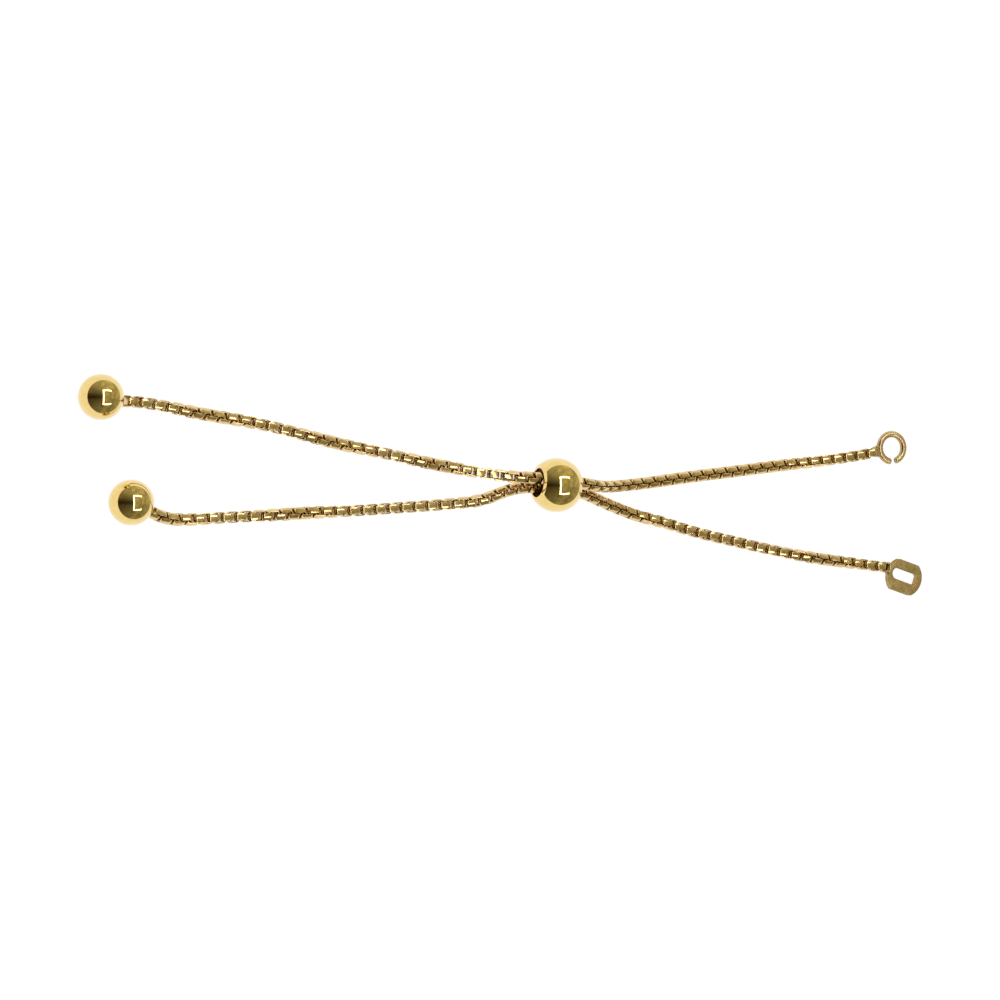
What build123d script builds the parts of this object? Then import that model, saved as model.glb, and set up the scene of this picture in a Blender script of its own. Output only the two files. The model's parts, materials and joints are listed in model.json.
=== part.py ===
from build123d import *
import os
from math import cos, degrees, radians, sin, sqrt

os.makedirs("parts", exist_ok=True)

# Bead slider: two round box chains run side by side through one hollow bead with a rubber core.
# Their left ends carry a polished ball, their right ends an open jump ring and a slotted tab.
# Millimetres, +Z up. Everything lies on the plane Z = 0.

# Chain link: a flat strip bent into a closed box, each turned 90 degrees from the one before
link_length = 1.37
link_width = 1.30
strip_thickness = 0.20
strip_width = 0.60
link_corner = 0.22
link_play = 0.18
link_pitch = link_length - 2 * strip_thickness - link_play
chain_reach = sqrt((link_width / 2) ** 2 + (strip_width / 2) ** 2)

# Slider bead: a hollow ball with a round mouth at each end, its axis turned a little from X
bead_radius = 3.1
bead_wall = 0.35
bead_lip = 0.15
bead_turn = -6.5

# The two chains stand one above the other, leaning, where they pass through the bead
chain_gap = 0.12
mouth_clearance = 0.15
pair_lean = 50
pair_offset = chain_reach + chain_gap / 2
mouth_radius = pair_offset + chain_reach + mouth_clearance
mouth_reach = sqrt(bead_radius**2 - mouth_radius**2)
inner_radius = bead_radius - bead_wall
inner_reach = sqrt(inner_radius**2 - mouth_radius**2)

# Rubber core inside the bead, with a dished end behind each mouth
core_gap = 0.05
core_recess = 0.60
core_rim = 0.15
dish_depth = 0.60
passage_clearance = 0.12
core_radius = inner_radius - core_gap
core_reach = mouth_reach - core_recess
core_end_radius = sqrt(core_radius**2 - core_reach**2)
passage_radius = chain_reach + passage_clearance

# End balls, and the solder nub that joins the first link to a ball
ball_radius = 2.5
ball_drop = 20.6
ball_link_reach = 0.93
nub_radius = 0.45
nub_tip_radius = 0.34
nub_inset = 0.10

# Open jump ring of round wire, lying flat, with a flared solder neck
ring_outer_radius = 2.0
ring_wire_radius = 0.375
ring_gap = 0.62
ring_gap_angle = -84
ring_link_reach = 1.24
wire_end_round = 0.08
neck_start = 0.15
neck_height = 0.86
neck_flare_width = 1.90
neck_flare_height = 0.50
neck_corner = 0.22
ring_radius = ring_outer_radius - ring_wire_radius

# Flat tab: a disc with two flats and a slot whose far end is squarer than its near end
tab_radius = 2.33
tab_width = 3.75
tab_thickness = 0.80
tab_edge = 0.10
tab_corner = 0.25
tab_turn = -18
tab_link_reach = 0.66
tab_nub_radius = 0.38
slot_length = 3.35
slot_width = 1.34
slot_corner = 0.30
slot_shift = (-0.135, 0.115)

# Places on the table, measured from a point under the slider bead
bead_place = (-0.18, 0.0)
upper_ball_place = (-54.20, 9.36)
upper_ball_heading = -7
lower_ball_place = (-50.77, -1.96)
lower_ball_heading = -21
ring_place = (45.50, 4.53)
ring_heading = 12
tab_place = (47.14, -10.89)
tab_heading = -24

# Routes of the two chains from left to right: x and y from the same point, the share of the
# climb from the table to the bead's axis, and the angle that the links are turned about the chain
upper_left_route = [
    (-49.30, 8.88, 0.07, -5),
    (-47.30, 8.65, 0.01, 8),
    (-45.00, 8.27, 0.00, 22),
    (-42.48, 7.80, 0.00, 39),
    (-36.88, 6.92, 0.00, 73),
    (-31.21, 5.81, 0.00, 109),
    (-25.48, 4.47, 0.00, 147),
    (-19.71, 3.39, 0.03, 186),
    (-14.07, 2.24, 0.25, 230),
    (-8.60, 1.29, 0.69, 275),
    (-5.04, 0.90, 1.09, 303),
]
upper_right_route = [
    (3.60, 0.10, 1.17, 320),
    (4.90, -0.07, 1.00, 318),
    (6.65, -0.16, 0.66, 316),
    (9.10, -0.05, 0.24, 315),
    (11.40, 0.15, 0.03, 315),
    (13.50, 0.39, 0.00, 315),
    (17.65, 0.92, 0.00, 315),
    (23.98, 1.63, 0.00, 315),
    (30.38, 2.36, 0.00, 322),
    (34.69, 2.79, 0.00, 342),
    (39.04, 3.34, 0.00, 360),
]
lower_left_route = [
    (-46.45, -3.58, 0.113, -42),
    (-44.90, -3.82, 0.028, -33),
    (-42.90, -3.82, 0.002, -20),
    (-39.50, -3.62, 0.00, 0),
    (-37.00, -3.50, 0.00, 0),
    (-30.70, -3.17, 0.00, 45),
    (-24.30, -2.90, 0.00, 90),
    (-18.60, -2.55, 0.00, 90),
    (-14.82, -2.31, 0.02, 92),
    (-11.94, -2.08, 0.10, 102),
    (-8.21, -1.52, 0.32, 118),
    (-6.38, -0.84, 0.47, 127),
    (-4.55, -0.36, 0.63, 135),
]
lower_right_route = [
    (3.60, -0.97, 0.67, 140),
    (4.91, -1.36, 0.51, 139),
    (7.00, -2.09, 0.25, 137),
    (9.28, -2.84, 0.05, 136),
    (11.41, -3.53, 0.00, 148),
    (13.48, -4.00, 0.00, 161),
    (17.65, -5.11, 0.00, 180),
    (23.98, -6.52, 0.00, 180),
    (30.38, -7.79, 0.00, 190),
    (36.86, -8.80, 0.00, 232),
    (42.30, -9.45, 0.00, 268),
]

# The tab's outline where it lies, which with the upper ball marks out the object's whole extent
tab_plane = Plane(origin=(*tab_place, 0)).rotated((0, 0, tab_turn))
with BuildSketch(tab_plane) as tab_footprint:
    Circle(tab_radius)
    Rectangle(2 * tab_radius, tab_width, mode=Mode.INTERSECT)
footprint_box = tab_footprint.sketch.bounding_box()
middle = Vector(
    (upper_ball_place[0] - ball_radius + footprint_box.max.X) / 2,
    (upper_ball_place[1] + ball_radius + footprint_box.min.Y) / 2,
    0,
)


def spot(x, y, z):
    """A place in the part's own frame, which is centred over the whole object."""
    return Vector(x, y, z) - middle


def heading(angle, drop=0):
    """The level direction at an angle from +X, lowered by a number of degrees."""
    level = cos(radians(drop))
    return Vector(level * cos(radians(angle)), level * sin(radians(angle)), -sin(radians(drop)))


# The bead's frame: its axis is the local X
bead_axis = heading(bead_turn)
bead_plane = Plane(origin=spot(*bead_place, bead_radius), x_dir=bead_axis, z_dir=(0, 0, 1))
pair_direction = bead_plane.y_dir * cos(radians(pair_lean)) + Vector(0, 0, 1) * sin(radians(pair_lean))


def height(share):
    """Height of a chain's centre line for a share of the climb to the bead's axis."""
    return chain_reach + share * (bead_radius - chain_reach)


def route_points(left, right, start, side, end):
    """All points of one chain's centre line with their turns: table, bead, table."""
    inside = [bead_plane.origin + bead_axis * (core_reach * step) + pair_direction * side
              for step in (-1, 0, 1)]
    laid = [spot(x, y, height(share)) for x, y, share, turn in left]
    rising = [spot(x, y, height(share)) for x, y, share, turn in right]
    turns = [left[0][3]] + [row[3] for row in left] + [right[0][3]] * 3
    turns = turns + [row[3] for row in right] + [right[-1][3]]
    return [start] + laid + inside + rising + [end], turns


def turn_at(x, points, turns):
    """The links' turn at a place along the chain, in line between the route's points."""
    for low, high, turn_low, turn_high in zip(points, points[1:], turns, turns[1:]):
        if x <= high.X:
            share = (x - low.X) / (high.X - low.X)
            return turn_low + share * (turn_high - turn_low)
    return turns[-1]


def link_planes(points, turns):
    """One plane for each link: its origin the link's centre, its X along the chain."""
    with BuildLine() as path:
        Spline(*points)
    line = path.edges()[0]
    steps = round(line.length / link_pitch)
    planes = []
    for number in range(steps + 1):
        distance = line.length * number / steps
        centre = line.position_at(distance, position_mode=PositionMode.LENGTH)
        along = line.tangent_at(distance, position_mode=PositionMode.LENGTH)
        up = (Vector(0, 0, 1) - along * along.Z).normalized()
        across = along.cross(up)
        turn = radians(turn_at(centre.X, points, turns) + 90 * (number % 2))
        planes.append(Plane(origin=centre, x_dir=along, z_dir=up * cos(turn) + across * sin(turn)))
    return planes


# Centre lines. Each starts and ends at the centre of a link that is soldered in.
upper_ball = spot(*upper_ball_place, ball_radius)
lower_ball = spot(*lower_ball_place, ball_radius)
ring_centre = spot(*ring_place, ring_wire_radius)
tab_centre = spot(*tab_place, tab_thickness / 2)
upper_ball_way = heading(upper_ball_heading, ball_drop)
lower_ball_way = heading(lower_ball_heading, ball_drop)
ring_way = heading(ring_heading)
tab_way = heading(tab_heading)
upper_start = upper_ball + upper_ball_way * (ball_radius + ball_link_reach)
lower_start = lower_ball + lower_ball_way * (ball_radius + ball_link_reach)
upper_end = spot(*ring_place, chain_reach) - ring_way * (ring_outer_radius + ring_link_reach)
lower_end = spot(*tab_place, chain_reach) - tab_way * (tab_radius + tab_link_reach)
upper_points, upper_turns = route_points(
    upper_left_route, upper_right_route, upper_start, pair_offset, upper_end
)
lower_points, lower_turns = route_points(
    lower_left_route, lower_right_route, lower_start, -pair_offset, lower_end
)
upper_links = link_planes(upper_points, upper_turns)
lower_links = link_planes(lower_points, lower_turns)

# One link, its strip standing across the plane that its outline lies in
with BuildPart() as link:
    with BuildSketch() as link_outline:
        Rectangle(link_length, link_width)
        chamfer(link_outline.vertices(), link_corner)
        offset(amount=-strip_thickness, mode=Mode.SUBTRACT)
    extrude(amount=strip_width / 2, both=True)


def place_links(planes):
    """Add a link to the part at hand on each of the planes."""
    with Locations(*[Location(plane) for plane in planes]):
        add(link.part)


def solder_cone(start, end, start_radius, end_radius):
    """Add a solder nub to the part at hand, a cone from one point to another."""
    with Locations(Location(Plane(origin=start, z_dir=end - start))):
        Cone(start_radius, end_radius, (end - start).length, align=(Align.CENTER, Align.CENTER, Align.MIN))


# Upper chain, all links but the two that are soldered in
with BuildPart() as chain_upper:
    place_links(upper_links[1:-1])
chain_upper.part.label = "chain_upper"
export_step(chain_upper.part, "parts/chain_upper.step")

# Lower chain, the same
with BuildPart() as chain_lower:
    place_links(lower_links[1:-1])
chain_lower.part.label = "chain_lower"
export_step(chain_lower.part, "parts/chain_lower.step")

# Slider bead: the section of its wall, with rounded lips, turned about the bead's axis
with BuildPart() as slider_bead:
    with BuildSketch(bead_plane) as bead_section:
        with BuildLine():
            ThreePointArc((-mouth_reach, mouth_radius), (0, bead_radius), (mouth_reach, mouth_radius))
            Line((mouth_reach, mouth_radius), (inner_reach, mouth_radius))
            ThreePointArc((inner_reach, mouth_radius), (0, inner_radius), (-inner_reach, mouth_radius))
            Line((-inner_reach, mouth_radius), (-mouth_reach, mouth_radius))
        make_face()
        fillet(bead_section.vertices(), bead_lip)
    revolve(axis=Axis(bead_plane.origin, bead_axis))
slider_bead.part.label = "slider_bead"
export_step(slider_bead.part, "parts/slider_bead.step")

# Rubber core: a plug that fills the bead, dished at both ends, with one long passage for the pair
with BuildPart() as grip_core:
    with BuildSketch(bead_plane):
        with BuildLine():
            ThreePointArc((-core_reach, core_end_radius), (0, core_radius), (core_reach, core_end_radius))
            Polyline(
                (core_reach, core_end_radius),
                (core_reach, core_end_radius - core_rim),
                (core_reach - dish_depth, passage_radius),
                (core_reach - dish_depth, 0),
                (dish_depth - core_reach, 0),
                (dish_depth - core_reach, passage_radius),
                (-core_reach, core_end_radius - core_rim),
                (-core_reach, core_end_radius),
            )
        make_face()
    revolve(axis=Axis(bead_plane.origin, bead_axis))
    with BuildSketch(Plane(origin=bead_plane.origin, x_dir=pair_direction, z_dir=bead_axis)):
        SlotCenterToCenter(2 * pair_offset, 2 * passage_radius)
    extrude(amount=core_reach, both=True, mode=Mode.SUBTRACT)
grip_core.part.label = "grip_core"
export_step(grip_core.part, "parts/grip_core.step")

# End balls: a ball, its solder nub and the chain's end link
for name, centre, way, end_link in (
    ("end_ball_upper", upper_ball, upper_ball_way, upper_links[0]),
    ("end_ball_lower", lower_ball, lower_ball_way, lower_links[0]),
):
    with BuildPart() as end_ball:
        with Locations(Location(Plane(origin=centre, x_dir=-way))):
            Sphere(ball_radius)
        nub_start = centre + way * (ball_radius - nub_inset)
        nub_end = centre + way * (ball_radius + ball_link_reach - link_length / 2 + strip_thickness)
        solder_cone(nub_start, nub_end, nub_radius, nub_tip_radius)
        place_links([end_link])
    end_ball.part.label = name
    export_step(end_ball.part, f"parts/{name}.step")

# Jump ring: round wire turned about the ring's axis from one side of the gap to the other
gap_side = heading(ring_gap_angle + degrees(ring_gap / ring_radius) / 2)
with BuildPart() as jump_ring:
    with BuildSketch(Plane(origin=ring_centre, x_dir=gap_side, z_dir=gap_side.cross(Vector(0, 0, 1)))):
        with Locations((ring_radius, 0)):
            Circle(ring_wire_radius)
    revolve(axis=Axis(ring_centre, (0, 0, 1)), revolution_arc=360 - degrees(ring_gap / ring_radius))
    fillet(jump_ring.faces().filter_by(GeomType.PLANE).edges(), wire_end_round)
    neck_end = ring_centre - ring_way * ring_radius
    neck_way = (neck_end - upper_end).normalized()
    neck_side = Vector(0, 0, 1).cross(neck_way).normalized()
    with BuildSketch(Plane(origin=upper_end + neck_way * neck_start, x_dir=neck_side, z_dir=neck_way)):
        RectangleRounded(neck_height, neck_height, neck_corner)
    with BuildSketch(Plane(origin=upper_end + neck_way * link_length / 2, x_dir=neck_side, z_dir=neck_way)):
        RectangleRounded(neck_height, neck_height, neck_corner)
    with BuildSketch(Plane(origin=neck_end, x_dir=neck_side, z_dir=neck_way)):
        RectangleRounded(neck_flare_width, neck_flare_height, neck_corner)
    loft()
    place_links([upper_links[-1]])
jump_ring.part.label = "jump_ring"
export_step(jump_ring.part, "parts/jump_ring.step")

# Slotted tab: the plate, the solder nub and the chain's end link
with BuildPart() as slot_tab:
    with BuildSketch(Plane(origin=spot(*tab_place, 0), x_dir=heading(tab_turn), z_dir=(0, 0, 1))) as plate:
        Circle(tab_radius)
        Rectangle(2 * tab_radius, tab_width, mode=Mode.INTERSECT)
        fillet(plate.vertices(), tab_corner)
        with Locations(slot_shift):
            SlotOverall(slot_length, slot_width, mode=Mode.SUBTRACT)
            with Locations((slot_length / 4, 0)):
                RectangleRounded(slot_length / 2, slot_width, slot_corner, mode=Mode.SUBTRACT)
    extrude(amount=tab_thickness)
    level_faces = slot_tab.faces().filter_by(Axis.Z)
    chamfer(level_faces.edges(), tab_edge)
    nub_start = tab_centre - tab_way * (tab_radius - nub_inset)
    nub_end = lower_end + tab_way * (link_length / 2 - strip_thickness)
    solder_cone(nub_start, nub_end, tab_nub_radius, nub_tip_radius)
    place_links([lower_links[-1]])
slot_tab.part.label = "slot_tab"
export_step(slot_tab.part, "parts/slot_tab.step")
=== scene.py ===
# Bead slider: a polished gripping bead on two round box chains, with balls, a jump ring and a tab.
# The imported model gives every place. Here each piece gets its finished form and its surface.
import bpy
import bmesh
import json
import numpy as np
from math import asin, atan2, cos, pi, radians, sin, sqrt
from mathutils import Matrix, Vector


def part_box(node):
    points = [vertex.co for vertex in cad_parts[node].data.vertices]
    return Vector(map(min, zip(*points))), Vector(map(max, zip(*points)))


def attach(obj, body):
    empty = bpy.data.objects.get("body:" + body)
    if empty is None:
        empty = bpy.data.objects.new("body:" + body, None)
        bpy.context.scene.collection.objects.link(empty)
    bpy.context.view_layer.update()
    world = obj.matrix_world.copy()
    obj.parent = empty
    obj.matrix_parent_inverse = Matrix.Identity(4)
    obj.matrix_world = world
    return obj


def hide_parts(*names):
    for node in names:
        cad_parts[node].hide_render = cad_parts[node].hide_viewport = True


MM = 0.001
UP = Vector((0, 0, 1))

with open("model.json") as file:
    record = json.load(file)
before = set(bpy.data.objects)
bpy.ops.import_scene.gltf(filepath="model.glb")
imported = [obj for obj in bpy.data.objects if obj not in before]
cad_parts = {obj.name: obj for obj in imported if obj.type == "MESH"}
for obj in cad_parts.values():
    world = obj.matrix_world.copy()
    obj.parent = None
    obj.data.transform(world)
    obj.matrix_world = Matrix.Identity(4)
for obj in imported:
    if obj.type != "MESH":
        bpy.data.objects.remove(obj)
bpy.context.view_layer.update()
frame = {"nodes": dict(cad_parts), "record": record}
nodes = frame["nodes"]
mounts = {mount["name"]: mount for mount in frame["record"]["mounts"]}

# Camera: it looks down from the side of the balls, 25 degrees from upright
camera_target = Vector((-2.175, -1.07, 0)) * MM
camera_distance = 423 * MM
camera_lean = radians(25)
camera_lens = 134.3

# Chain link, a strip bent into a closed box
link_length = 1.40 * MM
link_width = 1.30 * MM
strip_thickness = 0.24 * MM
strip_width = 0.76 * MM
link_corner = 0.36 * MM
strip_crown = 0.05 * MM
strip_edge = 0.05 * MM

# Slider bead
bead_radius = 3.1 * MM
bead_wall = 0.35 * MM
mouth_radius = 1.642 * MM
bead_turn = radians(-6.5)
lip_start = radians(44.2)
lip_blend = 0.12 * MM
lip_slant = radians(31)
lip_crown = 2.2 * MM
lip_round = 0.10 * MM

# End balls and their solder nubs
ball_radius = 2.5 * MM
nub_radius = 0.45 * MM
nub_tip_radius = 0.34 * MM
nub_foot = 0.12 * MM

# Jump ring
ring_outer_radius = 2.0 * MM
wire_radius = 0.375 * MM
ring_radius = ring_outer_radius - wire_radius
ring_gap = 0.62 * MM
ring_gap_angle = radians(-84)
wire_end_round = 0.16 * MM

# Slotted tab
tab_radius = 2.33 * MM
tab_width = 3.75 * MM
tab_thickness = 0.80 * MM
tab_edge = 0.07 * MM
tab_corner = 0.25 * MM
tab_turn = radians(-18)
slot_length = 3.35 * MM
slot_width = 1.34 * MM
slot_corner = 0.30 * MM
slot_shift = (-0.135 * MM, 0.115 * MM)

# Solder neck between a chain's last link and the ring or the tab, with its root in the tab's edge
neck_height = 0.86 * MM
neck_flare_width = 1.70 * MM
neck_flare_height = 0.44 * MM
neck_corner = 0.24 * MM
neck_root = 0.30 * MM
# Where it starts, and where it sinks to the flare's height, as shares of its length
neck_start = 0.05
neck_sink_start = 0.38
neck_sink_end = 0.68
# Its width grows with this power of the share
neck_widening = 1.3


def make_camera():
    camera_data = bpy.data.cameras.new("camera")
    camera_data.lens = camera_lens
    camera_data.clip_start = 10 * MM
    camera = bpy.data.objects.new("camera", camera_data)
    bpy.context.scene.collection.objects.link(camera)
    back = Vector((-sin(camera_lean), 0, cos(camera_lean)))
    up = Vector((0, 1, 0))
    turn = Matrix((up.cross(back), up, back)).transposed()
    camera.matrix_world = Matrix.Translation(camera_target + back * camera_distance) @ turn.to_4x4()
    bpy.context.scene.camera = camera


make_camera()


# Surfaces

def new_material(name):
    """A material with nodes, its node tree and its shader."""
    material = bpy.data.materials.new(name)
    material.use_nodes = True
    return material, material.node_tree, material.node_tree.nodes["Principled BSDF"]


def new_metal(name):
    """A metal, its node tree and its shader."""
    material, tree, shader = new_material(name)
    shader.inputs["Metallic"].default_value = 1.0
    return material, tree, shader


def noise(tree, scale, detail=2.0, roughness=0.5):
    """A noise pattern in the part's own space. Most of its values lie between 0.35 and 0.65."""
    coords = tree.nodes.new("ShaderNodeTexCoord")
    texture = tree.nodes.new("ShaderNodeTexNoise")
    texture.inputs["Scale"].default_value = scale
    texture.inputs["Detail"].default_value = detail
    texture.inputs["Roughness"].default_value = roughness
    tree.links.new(coords.outputs["Object"], texture.inputs["Vector"])
    return texture.outputs["Fac"]


def spread(tree, value, low, high, from_low=0.35, from_high=0.65):
    """Map a value from one range, as a rule the range of a noise pattern, to another."""
    node = tree.nodes.new("ShaderNodeMapRange")
    node.inputs["From Min"].default_value = from_low
    node.inputs["From Max"].default_value = from_high
    node.inputs["To Min"].default_value = low
    node.inputs["To Max"].default_value = high
    tree.links.new(value, node.inputs["Value"])
    return node.outputs["Result"]


def share_of(tree, value, from_low=0.35, from_high=0.65):
    """How far a value has come from one value to another, from 0 to 1."""
    return spread(tree, value, 0.0, 1.0, from_low, from_high)


def openness(tree, distance, from_low, from_high):
    """A share that is near 0 deep in gaps and 1 where nothing stands within the distance."""
    node = tree.nodes.new("ShaderNodeAmbientOcclusion")
    node.samples = 6
    node.inputs["Distance"].default_value = distance
    return share_of(tree, node.outputs["AO"], from_low, from_high)


def blend_colours(tree, share, first, second):
    """A colour between two colours or colour outputs."""
    node = tree.nodes.new("ShaderNodeMix")
    node.data_type = "RGBA"
    tree.links.new(share, node.inputs["Factor"])
    for value, socket in ((first, node.inputs["A"]), (second, node.inputs["B"])):
        if isinstance(value, tuple):
            socket.default_value = (*value, 1)
        else:
            tree.links.new(value, socket)
    return node.outputs["Result"]


def finish_surface(tree, shader, colour, roughness, height, relief):
    """Give a shader its colour and its roughness, and raise the surface by a height pattern."""
    tree.links.new(colour, shader.inputs["Base Color"])
    tree.links.new(roughness, shader.inputs["Roughness"])
    bump = tree.nodes.new("ShaderNodeBump")
    bump.inputs["Distance"].default_value = relief
    tree.links.new(height, bump.inputs["Height"])
    tree.links.new(bump.outputs["Normal"], shader.inputs["Normal"])


def polished_gold():
    """Mirror-polished balls and bead, with the faintest waviness and hairline haze."""
    material, tree, shader = new_metal("polished_gold")
    shader.inputs["Coat Weight"].default_value = 1.0
    shader.inputs["Coat IOR"].default_value = 1.8
    shader.inputs["Coat Roughness"].default_value = 0.03
    haze = share_of(tree, noise(tree, 1800, 4.0))
    colour = blend_colours(tree, haze, (0.86, 0.62, 0.185), (0.80, 0.56, 0.140))
    roughness = spread(tree, noise(tree, 2500, 4.0), 0.035, 0.075)
    finish_surface(tree, shader, colour, roughness, noise(tree, 350, 1.0), 0.004 * MM)
    return material


def chain_gold():
    """Bright plated strip, browner where it is worn, with painted shade in a darker brown down between the
    links.
    """
    material, tree, shader = new_metal("chain_gold")
    worn = share_of(tree, noise(tree, 1100, 4.0, 0.6), 0.42, 0.62)
    bright = blend_colours(tree, worn, (0.79, 0.60, 0.31), (0.68, 0.47, 0.22))
    # Painted shade: the colour turns dark brown where other links stand within half a millimetre
    colour = blend_colours(tree, openness(tree, 0.5 * MM, 0.15, 0.75), (0.36, 0.22, 0.06), bright)
    roughness = spread(tree, noise(tree, 3000, 3.0), 0.12, 0.22)
    finish_surface(tree, shader, colour, roughness, noise(tree, 2600, 3.0), 0.006 * MM)
    return material


def wire_gold():
    """Drawn satin wire, darker low on its sides by painted shade, with patches of a redder tone."""
    material, tree, shader = new_metal("wire_gold")
    shader.inputs["Specular Tint"].default_value = (0.25, 0.22, 0.12, 1)
    patches = share_of(tree, noise(tree, 600), 0.42, 0.60)
    bright = blend_colours(tree, patches, (0.80, 0.66, 0.36), (0.76, 0.51, 0.30))
    # Painted shade: the colour turns dark olive where the floor or the neck stands within 1.2 mm, low on
    # the wire's sides
    colour = blend_colours(tree, openness(tree, 1.2 * MM, 0.45, 0.92), (0.30, 0.24, 0.11), bright)
    roughness = spread(tree, noise(tree, 4000, 3.0), 0.30, 0.38)
    finish_surface(tree, shader, colour, roughness, noise(tree, 1200), 0.001 * MM)
    return material


def matt_gold():
    """The tab's blanked plate, matt and fine-grained, with greener and redder patches."""
    material, tree, shader = new_metal("matt_gold")
    shader.inputs["Specular Tint"].default_value = (0.35, 0.32, 0.20, 1)
    grain = share_of(tree, noise(tree, 1400, 5.0, 0.6), 0.38, 0.64)
    greener = blend_colours(tree, grain, (0.54, 0.44, 0.19), (0.40, 0.30, 0.12))
    redder = blend_colours(tree, grain, (0.61, 0.43, 0.21), (0.47, 0.30, 0.14))
    patches = share_of(tree, noise(tree, 480), 0.38, 0.62)
    colour = blend_colours(tree, patches, greener, redder)
    roughness = spread(tree, noise(tree, 3500, 4.0), 0.38, 0.55)
    finish_surface(tree, shader, colour, roughness, noise(tree, 7000, 3.0, 0.6), 0.012 * MM)
    return material


def dark_rubber():
    """Matt dark brown silicone."""
    material, tree, shader = new_material("dark_rubber")
    shader.inputs["Specular IOR Level"].default_value = 0.25
    shade = share_of(tree, noise(tree, 1500, 4.0))
    colour = blend_colours(tree, shade, (0.11, 0.042, 0.016), (0.17, 0.070, 0.026))
    roughness = spread(tree, noise(tree, 4000), 0.50, 0.65, 0.0, 1.0)
    finish_surface(tree, shader, colour, roughness, noise(tree, 3500, 4.0), 0.015 * MM)
    return material


polished = polished_gold()
chain_surface = chain_gold()
wire_surface = wire_gold()
matt_surface = matt_gold()
rubber = dark_rubber()


# Meshes

def piece(name, shape, materials, node_name, sharp=50):
    """Make a finished piece from a bmesh, with smooth shading and edges sharper than an angle kept."""
    bmesh.ops.recalc_face_normals(shape, faces=shape.faces)
    mesh = bpy.data.meshes.new(name)
    shape.to_mesh(mesh)
    shape.free()
    mesh.shade_smooth()
    mesh.set_sharp_from_angle(angle=radians(sharp))
    for material in materials:
        mesh.materials.append(material)
    obj = bpy.data.objects.new(name, mesh)
    bpy.context.scene.collection.objects.link(obj)
    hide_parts(node_name)
    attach(obj, "root")


def skin(shape, rings, closed=True, caps=False):
    """Join rings of points, each a closed loop, into a surface: closed joins the last to the first."""
    rows = [[shape.verts.new(point) for point in ring] for ring in rings]
    pairs = list(zip(rows, rows[1:]))
    if closed:
        pairs.append((rows[-1], rows[0]))
    for low, high in pairs:
        for i in range(len(low)):
            j = (i + 1) % len(low)
            shape.faces.new((low[i], low[j], high[j], high[i]))
    if caps:
        shape.faces.new(rows[0])
        shape.faces.new(rows[-1])


def lathe(shape, outline, origin, axis, steps, closed=False):
    """Turn an outline of (distance along the axis, radius) about an axis. Radius 0 closes an end."""
    side = axis.orthogonal().normalized()
    other = axis.cross(side)
    angles = [2 * pi * i / steps for i in range(steps)]
    circle = [side * cos(angle) + other * sin(angle) for angle in angles]
    rows = []
    for along, radius in outline:
        middle = origin + axis * along
        points = [middle + outward * radius for outward in circle] if radius else [middle]
        rows.append([shape.verts.new(point) for point in points])
    pairs = list(zip(rows, rows[1:]))
    if closed:
        pairs.append((rows[-1], rows[0]))
    for low, high in pairs:
        for i in range(steps):
            j = (i + 1) % steps
            corners = [low[i % len(low)], low[j % len(low)], high[j % len(high)], high[i % len(high)]]
            # A row of one point makes triangles
            shape.faces.new(list(dict.fromkeys(corners)))


def arc(centre, radius, start, end, steps):
    """Points of an arc in a plane, with both ends."""
    return [
        (centre[0] + radius * cos(start + (end - start) * i / steps),
         centre[1] + radius * sin(start + (end - start) * i / steps))
        for i in range(steps + 1)
    ]


def rounded_rectangle(length, width, corner, corner_steps):
    """The outline of a rectangle with round corners and a point amid each side, anticlockwise."""
    x = length / 2 - corner
    y = width / 2 - corner
    centres = [(x, y), (-x, y), (-x, -y), (x, -y)]
    middles = [(0, width / 2), (-length / 2, 0), (0, -width / 2), (length / 2, 0)]
    points = []
    for quarter in range(4):
        start = quarter * pi / 2
        points += arc(centres[quarter], corner, start, start + pi / 2, corner_steps)
        points.append(middles[quarter])
    return points


# Chain links

def strip_section():
    """The strip's section as (outwards, across) points: a crowned outside and rounded edges."""
    half = strip_thickness / 2
    side = strip_width / 2 - strip_edge
    crown = []
    for step in range(-3, 4):
        share = step / 3
        crown.append((half - strip_crown * share * share, side * share))
    # The edge, from the crown over its widest point towards the inside
    upper = [
        ((half - strip_crown) * 0.85, side + strip_edge * 0.75),
        (0, side + strip_edge),
        (-half * 0.7, side + strip_edge * 0.65),
    ]
    inner = [(-half, side), (-half, -side)]
    lower = [(x, -y) for x, y in reversed(upper)]
    return crown + upper + inner + lower


def link_mesh():
    """One link in its own frame: its length along X, the strip's width along Z."""
    # The path runs along the middle of the strip's thickness
    path_length = link_length - strip_thickness
    path_width = link_width - strip_thickness
    path = rounded_rectangle(path_length, path_width, link_corner - strip_thickness / 2, 7)
    shape = bmesh.new()
    rings = []
    for i, (x, y) in enumerate(path):
        before = path[i - 1]
        after = path[(i + 1) % len(path)]
        along = Vector((after[0] - before[0], after[1] - before[1], 0)).normalized()
        outward = Vector((along.y, -along.x, 0))
        rings.append([Vector((x, y, 0)) + outward * out + UP * across for out, across in strip_section()])
    skin(shape, rings)
    bmesh.ops.recalc_face_normals(shape, faces=shape.faces)
    mesh = bpy.data.meshes.new("link")
    shape.to_mesh(mesh)
    shape.free()
    return mesh


link = link_mesh()


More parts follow.
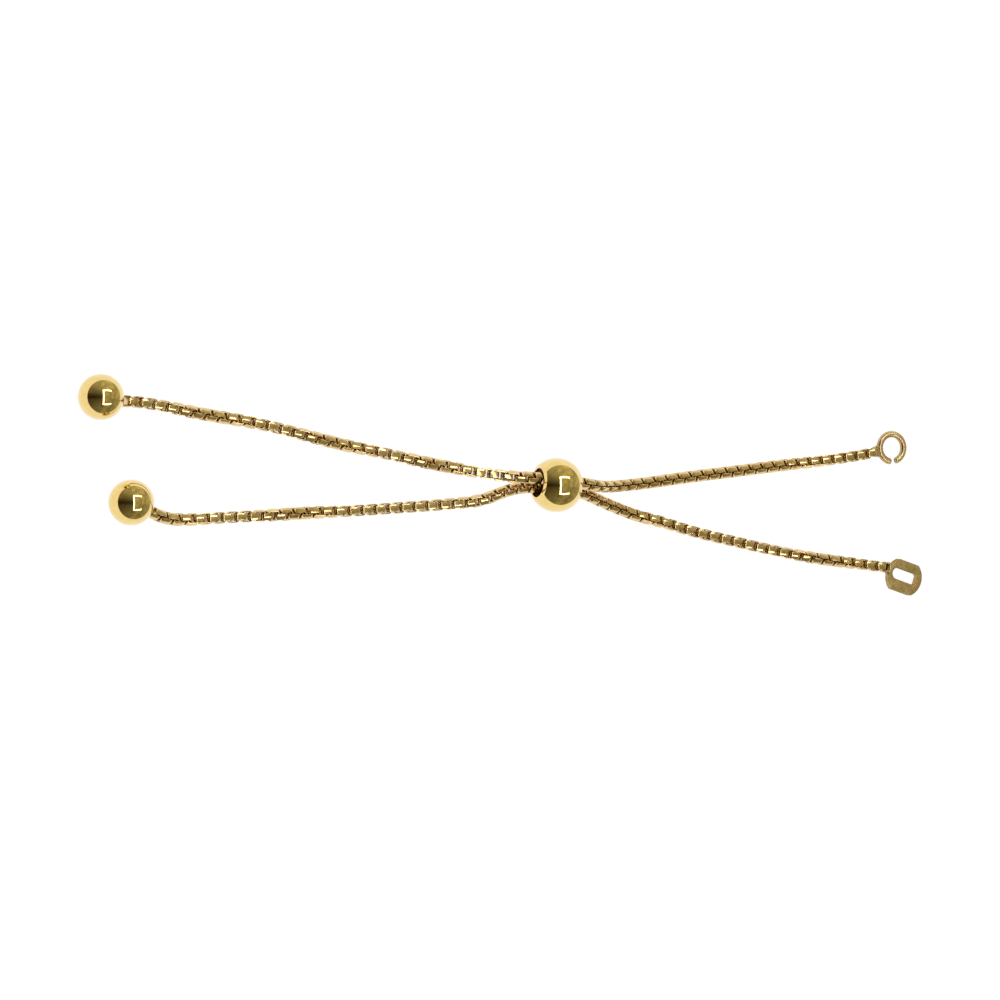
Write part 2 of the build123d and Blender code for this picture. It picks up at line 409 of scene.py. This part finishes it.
def loose_links(node):
    """The matrix of each loose link of a chain node, from left to right."""
    shape = bmesh.new()
    shape.from_mesh(node.data)
    bmesh.ops.remove_doubles(shape, verts=shape.verts, dist=0.001 * MM)
    unseen = set(shape.verts)
    found = []
    while unseen:
        group = [unseen.pop()]
        for vert in group:
            for edge in vert.link_edges:
                other = edge.other_vert(vert)
                if other in unseen:
                    unseen.discard(other)
                    group.append(other)
        points = np.array([vert.co for vert in group])
        centre = points.mean(0)
        # The strip's width is the shortest way through a link
        axes = np.linalg.eigh((points - centre).T @ (points - centre))[1]
        found.append((Vector(centre), Vector(axes[:, 0])))
    shape.free()
    found.sort(key=lambda item: item[0].x)
    centres = [centre for centre, across in found]
    frames = []
    for i, (centre, across) in enumerate(found):
        along = centres[min(i + 1, len(found) - 1)] - centres[max(i - 1, 0)]
        along = (along - across * along.dot(across)).normalized()
        frames.append(link_frame(centre, along, across))
    return frames


def link_frame(centre, along, across):
    """The matrix of a link at a centre, its length along one direction, its strip across another."""
    across = (across - along * across.dot(along)).normalized()
    turn = Matrix((along, across.cross(along), across)).transposed()
    return Matrix.Translation(centre) @ turn.to_4x4()


def level_turn(along, across):
    """The angle of a link about the chain, measured from upright."""
    upright = (UP - along * along.z).normalized()
    return atan2(across.dot(along.cross(upright)), across.dot(upright))


def next_link(near, second, third):
    """The link that is soldered in beyond a chain's end, carried on from the three loose ones before it."""
    places = [matrix.to_translation() for matrix in (near, second, third)]
    # A parabola through the three centres gives the next centre and its direction
    centre = places[0] * 3 - places[1] * 3 + places[2]
    along = ((centre - places[0]) * 1.5 - (places[0] - places[1]) * 0.5).normalized()
    turns = []
    for matrix in (near, second):
        x_axis = matrix.col[0].to_3d()
        if x_axis.dot(along) < 0:
            x_axis = -x_axis
        turns.append(level_turn(x_axis, matrix.col[2].to_3d()))
    step = (turns[0] - turns[1]) % pi
    turn = turns[0] + step
    upright = (UP - along * along.z).normalized()
    across = upright * cos(turn) + along.cross(upright) * sin(turn)
    return link_frame(centre, along, across)


def add_links(shape, matrices, material_index=0):
    """Put a link into a shape at each of the places, with one of the piece's materials."""
    for matrix in matrices:
        copy = link.copy()
        copy.transform(matrix)
        copy.polygons.foreach_set("material_index", [material_index] * len(copy.polygons))
        shape.from_mesh(copy)
        bpy.data.meshes.remove(copy)


upper_links = loose_links(nodes["chain_upper"])
lower_links = loose_links(nodes["chain_lower"])


def make_chain(name, matrices):
    shape = bmesh.new()
    add_links(shape, matrices)
    piece("box_" + name, shape, [chain_surface], name, sharp=60)


make_chain("chain_upper", upper_links)
make_chain("chain_lower", lower_links)


# Slider bead

def make_bead():
    """The hollow bead: a ball whose wall ends in a flattened lip round each mouth."""
    low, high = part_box("slider_bead")
    centre = (low + high) / 2
    axis = Vector((cos(bead_turn), sin(bead_turn), 0))
    inner_radius = bead_radius - bead_wall
    outside = arc((0, 0), bead_radius, pi - lip_start, lip_start, 96)
    # A rounded corner leaves the ball, a nearly flat crown follows, and a small round turns into the mouth
    corner = ((bead_radius - lip_blend) * cos(lip_start), (bead_radius - lip_blend) * sin(lip_start))
    right_lip = arc(corner, lip_blend, lip_start, lip_slant, 6)
    crown_depth = lip_crown - lip_blend
    crown = (corner[0] - crown_depth * cos(lip_slant), corner[1] - crown_depth * sin(lip_slant))
    edge_height = mouth_radius + lip_round
    crown_end = asin((edge_height - crown[1]) / (lip_crown - lip_round))
    edge = (crown[0] + (lip_crown - lip_round) * cos(crown_end), edge_height)
    right_lip += arc(crown, lip_crown, lip_slant, crown_end, 6)[1:]
    right_lip += arc(edge, lip_round, crown_end, -pi / 2, 14)[1:]
    inner_reach = sqrt(inner_radius ** 2 - mouth_radius ** 2)
    inner_angle = atan2(mouth_radius, inner_reach)
    inside = arc((0, 0), inner_radius, inner_angle, pi - inner_angle, 40)
    left_lip = [(-x, y) for x, y in reversed(right_lip)]
    outline = outside + right_lip[1:] + inside + left_lip[:-1]
    shape = bmesh.new()
    lathe(shape, outline, centre, axis, 160, closed=True)
    piece("bead_shell", shape, [polished], "slider_bead")


make_bead()


# Rubber core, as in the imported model
core = nodes["grip_core"]
core.data.materials.clear()
core.data.materials.append(rubber)


# End balls

def make_ball(name, links):
    """A ball, its solder nub with a hollow foot, and the chain's soldered link."""
    low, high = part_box(name)
    centre = Vector((low.x + ball_radius, (low.y + high.y) / 2, ball_radius))
    end_link = next_link(links[0], links[1], links[2])
    way = (end_link.to_translation() - centre).normalized()
    reach = (end_link.to_translation() - centre).length - link_length / 2 + strip_thickness / 2
    # The foot's circle touches the ball and the nub
    foot_height = nub_radius + nub_foot
    foot_reach = sqrt((ball_radius + nub_foot) ** 2 - foot_height ** 2)
    touch = atan2(foot_height, foot_reach)
    outline = arc((0, 0), ball_radius, pi, touch, 110)
    outline[0] = (-ball_radius, 0)
    outline += arc((foot_reach, foot_height), nub_foot, pi + touch, 3 * pi / 2, 8)[1:]
    outline += [(reach, nub_tip_radius), (reach, 0)]
    shape = bmesh.new()
    lathe(shape, outline, centre, way, 144)
    add_links(shape, [end_link], material_index=1)
    piece("polished_" + name.removeprefix("end_"), shape, [polished, chain_surface], name)


make_ball("end_ball_upper", upper_links)
make_ball("end_ball_lower", lower_links)


# Jump ring and tab

def level_way(start, end):
    """The level direction from one place to another."""
    way = end - start
    way.z = 0
    return way.normalized()


def add_neck(shape, foot, end_link):
    """Solder that fills the last link and flares out to its foot in the ring or the tab."""
    link_place = end_link.to_translation()
    way = (foot - link_place).normalized()
    side = UP.cross(way).normalized()
    lift = way.cross(side)
    length = (foot - link_place).length
    steps = 16
    rings = []
    for step in range(steps + 1):
        share = step / steps
        # It widens along its whole length, and sinks below the wire's top before it meets the wire
        sink = min(1.0, max(0.0, (share - neck_sink_start) / (neck_sink_end - neck_sink_start)))
        sink = sink * sink * (3 - 2 * sink)
        width = neck_height + (neck_flare_width - neck_height) * share ** neck_widening
        height = neck_height + (neck_flare_height - neck_height) * sink
        middle = link_place + way * (length * (neck_start + (1 - neck_start) * share))
        # The corner's radius stays under half the height
        outline = rounded_rectangle(width, height, min(neck_corner, height * 0.48), 5)
        rings.append([middle + side * x + lift * y for x, y in outline])
    skin(shape, rings, closed=False, caps=True)


def edge_round(radius):
    """A rounded edge as (inset, height) points, from the level face to the upright side."""
    angles = [step / 4 * pi / 2 for step in range(5)]
    return [(radius * (1 - sin(angle)), radius * (1 - cos(angle))) for angle in angles]


def make_ring():
    """The open ring of round wire, its neck of solder and the chain's last link."""
    centre = Vector(mounts["ring_eye"]["pos_m"])
    end_link = next_link(upper_links[-1], upper_links[-2], upper_links[-3])
    opening = ring_gap / ring_radius
    start = ring_gap_angle + opening / 2
    end = start + 2 * pi - opening
    # Each ring of points is (angle about the eye, radius in the wire)
    first_end = []
    for inset, depth in edge_round(wire_end_round):
        first_end.append((start + depth / ring_radius, wire_radius - inset))
    last_end = [(start + end - angle, radius) for angle, radius in reversed(first_end)]
    steps = 150
    from_angle = first_end[-1][0]
    to_angle = last_end[0][0]
    wire = [(from_angle + (to_angle - from_angle) * i / steps, wire_radius) for i in range(1, steps)]
    sides = 32
    circle = [(cos(2 * pi * i / sides), sin(2 * pi * i / sides)) for i in range(sides)]
    rings = []
    for angle, radius in first_end + wire + last_end:
        outward = Vector((cos(angle), sin(angle), 0))
        rings.append([centre + outward * (ring_radius + radius * x) + UP * (radius * z) for x, z in circle])
    shape = bmesh.new()
    skin(shape, rings, closed=False, caps=True)
    add_neck(shape, centre + level_way(centre, end_link.to_translation()) * ring_radius, end_link)
    add_links(shape, [end_link], material_index=1)
    piece("open_ring", shape, [wire_surface, chain_surface], "jump_ring")


make_ring()


def tab_outline():
    """The disc with two flats, its corners rounded."""
    flat = tab_width / 2
    # The corner's circle touches the disc from inside and the flat
    height = flat - tab_corner
    reach = sqrt((tab_radius - tab_corner) ** 2 - height ** 2)
    touch = atan2(height, reach)
    quarter = arc((0, 0), tab_radius, 0, touch, 16) + arc((reach, height), tab_corner, touch, pi / 2, 6)[1:]
    half = quarter + [(-x, y) for x, y in reversed(quarter)]
    return half[:-1] + [(x, -y) for x, y in reversed(half)][:-1]


def slot_outline():
    """The slot: its near end round, its far end squarer."""
    near = arc((-(slot_length - slot_width) / 2, 0), slot_width / 2, pi / 2, 3 * pi / 2, 16)
    far_x = slot_length / 2 - slot_corner
    far_y = slot_width / 2 - slot_corner
    far = arc((far_x, -far_y), slot_corner, -pi / 2, 0, 6) + arc((far_x, far_y), slot_corner, 0, pi / 2, 6)
    return near + far


def offset_outline(outline, amount):
    """Move a closed anticlockwise outline outwards by an amount."""
    moved = []
    for i, (x, y) in enumerate(outline):
        before = outline[i - 1]
        after = outline[(i + 1) % len(outline)]
        along = Vector((after[0] - before[0], after[1] - before[1])).normalized()
        moved.append((x + along.y * amount, y - along.x * amount))
    return moved


def by_angle(outline, count):
    """A closed outline as a number of points that are evenly spaced in angle about the middle."""
    turns = [atan2(y, x) for x, y in outline]
    wanted = [2 * pi * i / count for i in range(count)]
    xs = np.interp(wanted, turns, [x for x, y in outline], period=2 * pi)
    ys = np.interp(wanted, turns, [y for x, y in outline], period=2 * pi)
    return list(zip(xs, ys))


def make_tab():
    """The plate with rounded edges, its solder neck and the chain's last link."""
    x_axis = Vector((cos(tab_turn), sin(tab_turn), 0))
    y_axis = UP.cross(x_axis)
    centre = Vector(mounts["tab_slot"]["pos_m"]) - x_axis * slot_shift[0] - y_axis * slot_shift[1]
    centre.z = 0
    end_link = next_link(lower_links[-1], lower_links[-2], lower_links[-3])
    count = 144
    outer = by_angle(tab_outline(), count)
    hole = [(x + slot_shift[0], y + slot_shift[1]) for x, y in by_angle(slot_outline(), count)]
    # Up the outside as (inset, height), then down through the slot
    lower_edge = edge_round(tab_edge)
    upper_edge = [(inset, tab_thickness - height) for inset, height in reversed(lower_edge)]
    climb = lower_edge + upper_edge
    levels = [(offset_outline(outer, -inset), height) for inset, height in climb]
    levels += [(offset_outline(hole, inset), height) for inset, height in reversed(climb)]
    rings = []
    for outline, height in levels:
        rings.append([centre + x_axis * x + y_axis * y + UP * height for x, y in outline])
    shape = bmesh.new()
    skin(shape, rings)
    foot = centre + level_way(centre, end_link.to_translation()) * (tab_radius - neck_root)
    foot.z = tab_thickness / 2
    add_neck(shape, foot, end_link)
    add_links(shape, [end_link], material_index=1)
    piece("slotted_tab", shape, [matt_surface, chain_surface], "slot_tab")


make_tab()


# Studio: a white floor, a dim room and three strips of light in a bracket

def make_floor():
    size = 2000 * MM
    corners = [(-size, -size, 0), (size, -size, 0), (size, size, 0), (-size, size, 0)]
    mesh = bpy.data.meshes.new("floor")
    mesh.from_pydata(corners, [], [(0, 1, 2, 3)])
    floor = bpy.data.objects.new("floor", mesh)
    bpy.context.scene.collection.objects.link(floor)
    floor.location.z = -0.01 * MM
    material, tree, shader = new_material("white_floor")
    shader.inputs["Base Color"].default_value = (0.12, 0.12, 0.12, 1)
    shader.inputs["Roughness"].default_value = 0.9
    shader.inputs["Specular IOR Level"].default_value = 0.0
    shader.inputs["Emission Color"].default_value = (1, 1, 1, 1)
    shader.inputs["Emission Strength"].default_value = 0.97
    mesh.materials.append(material)


def light_strip(name, left, right, near, far):
    """A level strip of light that faces down, between two X and two Y values."""
    height = 1500 * MM
    radiance = 6.0
    light_data = bpy.data.lights.new(name, "AREA")
    light_data.shape = "RECTANGLE"
    light_data.size = right - left
    light_data.size_y = far - near
    light_data.energy = radiance * light_data.size * light_data.size_y * pi
    light = bpy.data.objects.new(name, light_data)
    bpy.context.scene.collection.objects.link(light)
    light.location = ((left + right) / 2, (near + far) / 2, height)
    light.visible_camera = False


def make_lights():
    bar_left = -255 * MM
    bar_right = -112 * MM
    arm_right = 1180 * MM
    light_strip("bar", bar_left, bar_right, -1250 * MM, 1072 * MM)
    light_strip("arm_far", bar_right, arm_right, 843 * MM, 1072 * MM)
    light_strip("arm_near", bar_right, arm_right, -1250 * MM, -1003 * MM)


def calculate(tree, operation, *values):
    """A sum, a product or the like of values."""
    node = tree.nodes.new("ShaderNodeMath")
    node.operation = operation
    for value, socket in zip(values, node.inputs):
        tree.links.new(value, socket)
    return node.outputs["Value"]


def make_room():
    """The room above the floor: dim and patchy, brighter to the right, darkest on the camera's side."""
    world = bpy.data.worlds.new("room")
    bpy.context.scene.world = world
    world.use_nodes = True
    tree = world.node_tree
    direction = tree.nodes.new("ShaderNodeTexCoord").outputs["Generated"]
    parts = tree.nodes.new("ShaderNodeSeparateXYZ")
    tree.links.new(direction, parts.inputs["Vector"])
    along_x = parts.outputs["X"]
    along_y = parts.outputs["Y"]
    # What stands about in a room makes it patchy
    texture = tree.nodes.new("ShaderNodeTexNoise")
    texture.inputs["Scale"].default_value = 3.5
    texture.inputs["Detail"].default_value = 3.0
    tree.links.new(direction, texture.inputs["Vector"])
    clutter = texture.outputs["Fac"]

    # On the camera's side it is warm low down and cooler overhead, and dark in the middle
    from_middle = share_of(tree, calculate(tree, "ABSOLUTE", along_y), 0.05, 0.85)
    warm = blend_colours(tree, from_middle, (0.036, 0.026, 0.012), (0.28, 0.22, 0.135))
    cool = blend_colours(tree, from_middle, (0.050, 0.060, 0.044), (0.32, 0.34, 0.22))
    patchy_x = calculate(tree, "ADD", along_x, spread(tree, clutter, 0.30, -0.30))
    behind_camera = blend_colours(tree, share_of(tree, patchy_x, -0.75, -0.30), warm, cool)
    ahead = blend_colours(tree, share_of(tree, along_x, 0.0, 0.9), (0.44, 0.40, 0.23), (0.45, 0.43, 0.28))
    all_round = blend_colours(tree, share_of(tree, along_x, -0.20, -0.03), behind_camera, ahead)

    # It gets brighter towards +Y
    brighter = spread(tree, along_y, 0.58, 1.12, -0.7, 0.7)
    strength = calculate(tree, "MULTIPLY", brighter, spread(tree, clutter, 0.72, 1.28))
    lit = tree.nodes.new("ShaderNodeVectorMath")
    lit.operation = "SCALE"
    tree.links.new(all_round, lit.inputs[0])
    tree.links.new(strength, lit.inputs["Scale"])

    # The camera itself sees plain white beyond the floor
    camera_ray = tree.nodes.new("ShaderNodeLightPath").outputs["Is Camera Ray"]
    colour = blend_colours(tree, camera_ray, lit.outputs["Vector"], (1.0, 1.0, 1.0))
    tree.links.new(colour, tree.nodes["Background"].inputs["Color"])


make_floor()
make_lights()
make_room()
bpy.context.scene.view_settings.view_transform = "Standard"
